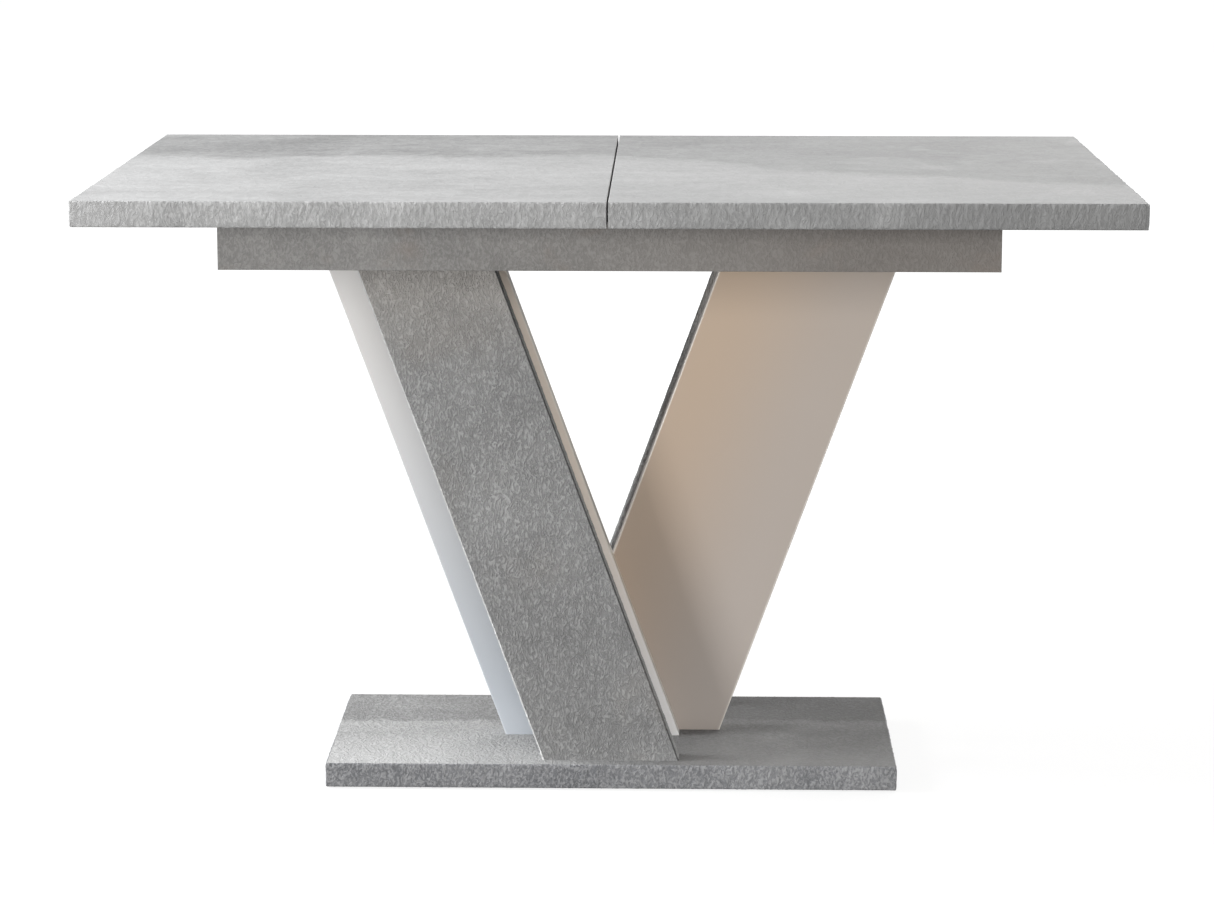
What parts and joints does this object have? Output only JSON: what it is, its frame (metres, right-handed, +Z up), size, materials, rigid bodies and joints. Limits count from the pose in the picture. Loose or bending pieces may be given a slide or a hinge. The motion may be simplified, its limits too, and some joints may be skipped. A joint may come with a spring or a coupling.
{
  "type": "extendable dining table",
  "caption": "Rectangular dining table with a split sliding top over a shallow apron box, on a V-shaped pedestal of slanted boards and a flat base.",
  "frame": {"origin": "middle of the footprint, on the floor", "axes": "+X along the table to the right-hand end, +Y from the front to the back, +Z up"},
  "size_m": [1.22, 0.76, 0.75],
  "materials": {
    "concrete_board": "matt light grey concrete decor on particle board",
    "concrete_edging": "matt grey edge band with the same concrete decor",
    "graphite_board": "matt grey concrete decor with an embossed grain",
    "graphite_edging": "matt grey edge band",
    "white_lacquer": "white gloss lacquer",
    "apron_board": "matt grey-brown decor",
    "slide_aluminium": "mill-finished extrusion",
    "gear_plastic": "black acetal",
    "beech": "plain beech",
    "felt": "grey felt",
    "glide_plastic": "black",
    "zinc_steel": "zinc plated"
  },
  "bodies": {
    "frame": {"apron_pads": "felt", "base_edging": "concrete_edging", "base_glides": "glide_plastic", "base_plate": "concrete_board", "base_screws": "zinc_steel", "box_floor": "apron_board", "cam_bolts": "zinc_steel", "cam_locks": "zinc_steel", "front_apron": "apron_board", "front_pinion_pin": "zinc_steel", "front_slide_track": "slide_aluminium", "leaf_guides": "beech", "leaf_runners": "felt", "left_dark_leg_board": "graphite_board", "left_dark_leg_edging": "graphite_edging", "left_end_board": "apron_board", "left_end_sill": "apron_board", "left_light_leg_board": "white_lacquer", "leg_dowels": "beech", "leg_top_screws": "zinc_steel", "rear_apron": "apron_board", "rear_pinion_pin": "zinc_steel", "rear_slide_track": "slide_aluminium", "right_dark_leg_board": "graphite_board", "right_dark_leg_edging": "graphite_edging", "right_end_sill": "apron_board", "right_light_leg_board": "white_lacquer", "track_screws": "zinc_steel"},
    "left_half": {"left_top_board": "concrete_board", "left_top_edging": "concrete_edging", "left_seam_band": "concrete_edging", "seam_dowels": "beech", "front_left_slide_bar": "slide_aluminium", "rear_left_slide_bar": "slide_aluminium", "front_left_rack": "gear_plastic", "rear_left_rack": "gear_plastic", "left_bar_screws": "zinc_steel"},
    "right_half": {"right_top_board": "concrete_board", "right_top_edging": "concrete_edging", "right_seam_band": "concrete_edging", "front_right_slide_bar": "slide_aluminium", "rear_right_slide_bar": "slide_aluminium", "front_right_rack": "gear_plastic", "rear_right_rack": "gear_plastic", "right_bar_screws": "zinc_steel"},
    "leaf": {"leaf_board": "concrete_board", "leaf_edging": "concrete_edging", "leaf_dowels": "beech"},
    "front_gear": {"front_pinion": "gear_plastic"},
    "rear_gear": {"rear_pinion": "gear_plastic"}
  },
  "joints": [
    {"name": "left_half_slide", "type": "slide", "parent": "frame", "child": "left_half", "axis": [-1, 0, 0], "range_m": [0, 0.214]},
    {"name": "right_half_slide", "type": "slide", "parent": "frame", "child": "right_half", "axis": [1, 0, 0], "range_m": [0, 0.214]},
    {"name": "front_gear_spin", "type": "hinge", "parent": "frame", "child": "front_gear", "pos_m": [0, -0.243, 0.707], "axis": [0, 0, 1], "range_deg": [-1, 1228]},
    {"name": "rear_gear_spin", "type": "hinge", "parent": "frame", "child": "rear_gear", "pos_m": [0, 0.243, 0.707], "axis": [0, 0, 1], "range_deg": [-1, 1228]},
    {"name": "leaf_slide", "type": "slide", "parent": "frame", "child": "leaf", "axis": [1, 0, 0], "range_m": [0, 0.4]}
  ],
  "couplings": [
    {"joint": "right_half_slide", "follows": "left_half_slide", "ratio": 1},
    {"joint": "front_gear_spin", "follows": "left_half_slide", "rad_per_m": 100},
    {"joint": "rear_gear_spin", "follows": "left_half_slide", "rad_per_m": 100}
  ]
}
